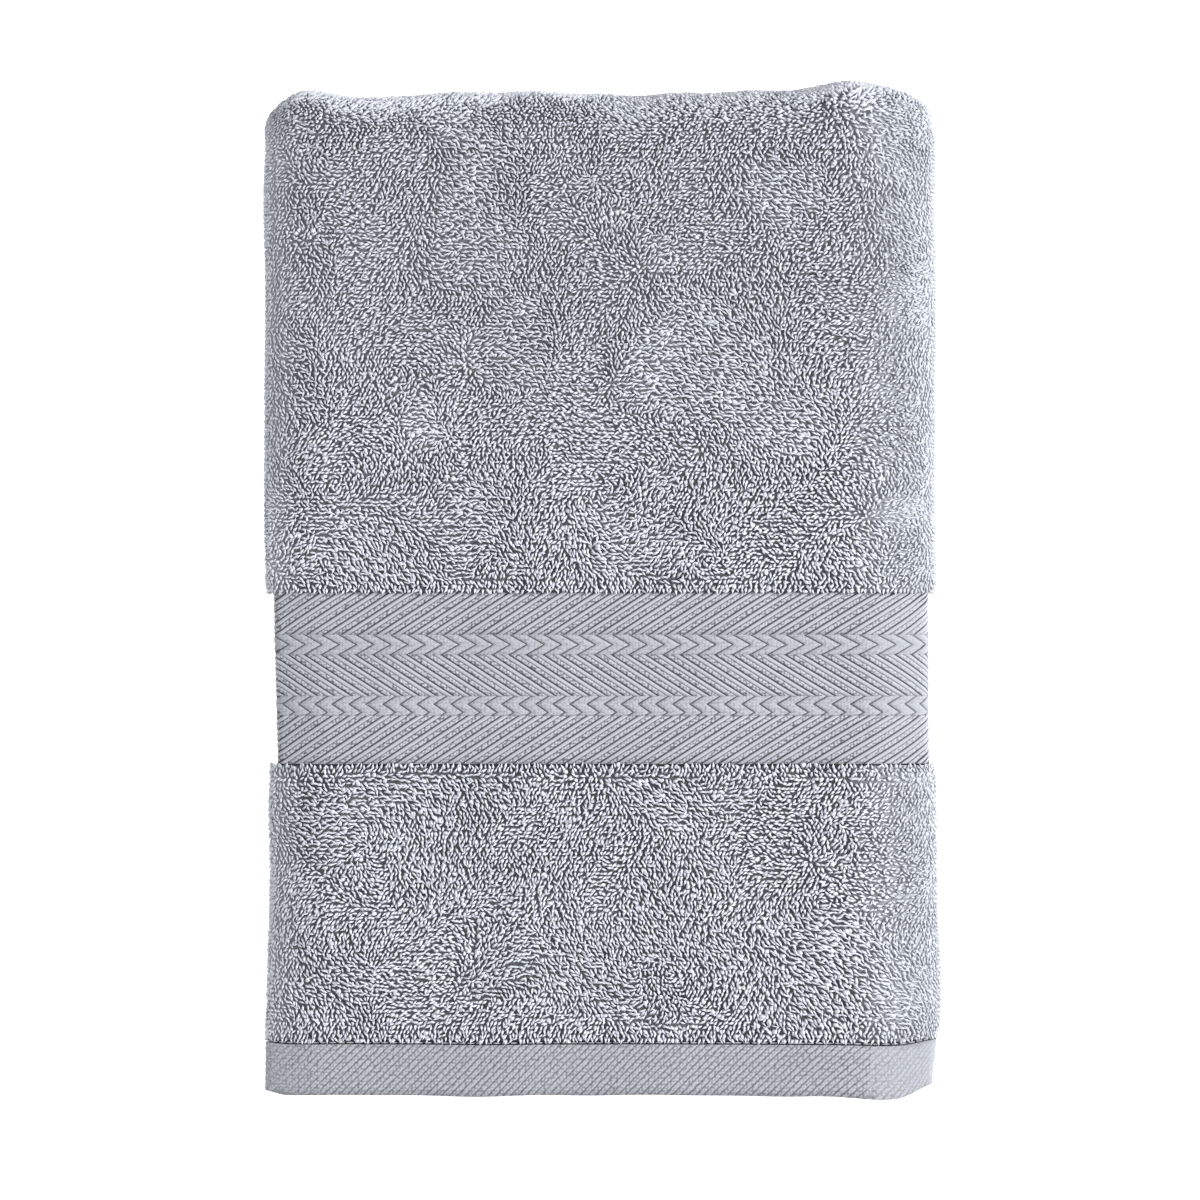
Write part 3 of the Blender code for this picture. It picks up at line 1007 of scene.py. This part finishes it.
stitch = stitchTemplate()
for stretch in ("front", "back"):
    low, high = clothLimits(0)
    along = np.arange(low + 2 * mm, high - 2 * mm, stitchLook["length"])
    local = stitch["points"]
    seam = (hemHigh.y + pileLow.y) / 2
    both = []
    for face in (1, -1):
        lift = face * (clothLook["hem"] / 2 - stitchLook["sink"])
        u = along[:, None] + local[:, 0][None]
        laid = place(stretch, u, seam + local[:, 1][None], lift + local[:, 2][None])
        both.append(laid.reshape(len(along), -1, 3))
    stitches = makeCopies(f"{stretch}HemStitches", stitch, np.concatenate(both), materials["thread"], {})
    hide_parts(f"{stretch}_hem_thread")
    join(stitches, stretch, "thread")
print("hems sewn")

# What is a sheet of cloth, and how big it is flat


bodyLong, borderLong = axisY - bodyLow.y, borderHigh.y - borderLow.y
layerLong, pileLong, hemLong = axisY - firstFoldY, pileHigh.y - pileLow.y, hemHigh.y - hemLow.y
table = {
    "frontBodyCloth": (bodyLong, ["frontBodyPile"]),
    "frontBorderCloth": (borderLong, ["frontBorderRib", "frontBorderPebble", "frontBorderPlait"]),
    "frontShortPileCloth": (pileLong, ["frontShortPile0", "frontShortPile1"]),
    "frontHemCloth": (hemLong, ["frontHemTwill", "frontHemStitches"]),
    "backBodyCloth": (bodyLong, ["backBodyPile", "backLeftSidePile0", "backRightSidePile0"]),
    "backBorderCloth": (borderLong, ["backBorderRib", "backBorderPebble", "backBorderPlait"]),
    "backShortPileCloth": (pileLong, ["backShortPilePile", "backLeftSidePile1", "backRightSidePile1"]),
    "backHemCloth": (hemLong, ["backHemTwill", "backHemStitches"]),
    "bottomCloth": (layerLong, ["bottomPile", "bottomLeft", "bottomRight"]),
    "middleCloth": (layerLong, ["middlePile", "middleLeft", "middleRight"]),
    "firstFoldCloth": (math.pi * stretches["firstFold"]["radius"], ["firstFoldPile"]),
    "innerFoldCloth": (
        math.pi * stretches["innerFold"]["radius"], ["innerFoldPile", "innerFoldLeft", "innerFoldRight"],
    ),
    "outerFoldCloth": (math.pi * stretches["outerFold"]["radius"], ["outerFoldPile"]),
}
onFloor = ("bottomCloth", "firstFoldCloth", "outerFoldCloth")
for name, (length, prefixes) in table.items():
    draw = borderDraw if "Border" in name else 0.0
    low, high = clothLimits(draw)
    if "Body" in name or "bottom" in name or "middle" in name or "Fold" in name:
        stretch = name.replace("BodyCloth", "").replace("Cloth", "")
        prefixes = prefixes + [f"{stretch}InnerSelvedge", f"{stretch}OuterSelvedge"]
    rests = ["stageFloor"] if name in onFloor else ["bottomCloth"]
    high - low

# Floor, light and camera
stageLook = {
    "frameWide": 0.4222, "lens": 135.0, "sensor": 36.0,
    "centre": (0.0005, -0.0029), "floor": 0.97, "floorHigh": -0.0010, "glow": 0.45, "sky": 0.9,
    # lights: place, size, power, colour
    "keyLight": ((1.4, 0.28, 0.88), 0.5, 44.0, (1.0, 1.0, 1.0)),
    "fillLight": ((-1.3, -0.4, 1.6), 1.6, 14.0, (0.96, 0.98, 1.0)),
}
deselectAll()
bpy.ops.mesh.primitive_plane_add(size=6, location=(0, 0, stageLook["floorHigh"]))
floor = bpy.context.object
floor.name = "stageFloor"
floorMaker = Maker("paleFloor")
floorMaker.set(Base_Color=(stageLook["floor"],) * 3 + (1.0,), Roughness=0.9, Specular_IOR_Level=0.1)
floorMaker.set(Emission_Color=(1.0, 1.0, 1.0, 1.0), Emission_Strength=stageLook["glow"])
floor.data.materials.append(floorMaker.material)


def softLight(name, location, size, power, colour):
    deselectAll()
    bpy.ops.object.light_add(type="AREA", location=location)
    lamp = bpy.context.object
    lamp.name = name
    lamp.data.shape = "DISK"
    lamp.data.size = size
    lamp.data.energy = power
    lamp.data.color = colour
    aim = Vector((0, 0, stackHigh / 2)) - Vector(location)
    lamp.rotation_euler = aim.to_track_quat("-Z", "Y").to_euler()
    return lamp


for name in ("keyLight", "fillLight"):
    softLight(name, *stageLook[name])
world = bpy.data.worlds.new("studio")
bpy.context.scene.world = world
world.use_nodes = True
sky = world.node_tree.nodes["Background"]
sky.inputs["Color"].default_value = (0.99, 0.99, 1.0, 1.0)
sky.inputs["Strength"].default_value = stageLook["sky"]
bpy.context.scene.view_settings.view_transform = "Standard"

deselectAll()
distance = stageLook["frameWide"] * stageLook["lens"] / stageLook["sensor"]
centreX, centreY = stageLook["centre"]
bpy.ops.object.camera_add(location=(centreX, centreY, stackHigh + distance), rotation=(0, 0, 0))
camera = bpy.context.object
camera.name = "overheadCamera"
camera.data.lens = stageLook["lens"]
camera.data.sensor_width = stageLook["sensor"]
camera.data.clip_end = 20
bpy.context.scene.camera = camera
print("stage set")

bpy.context.view_layer.update()
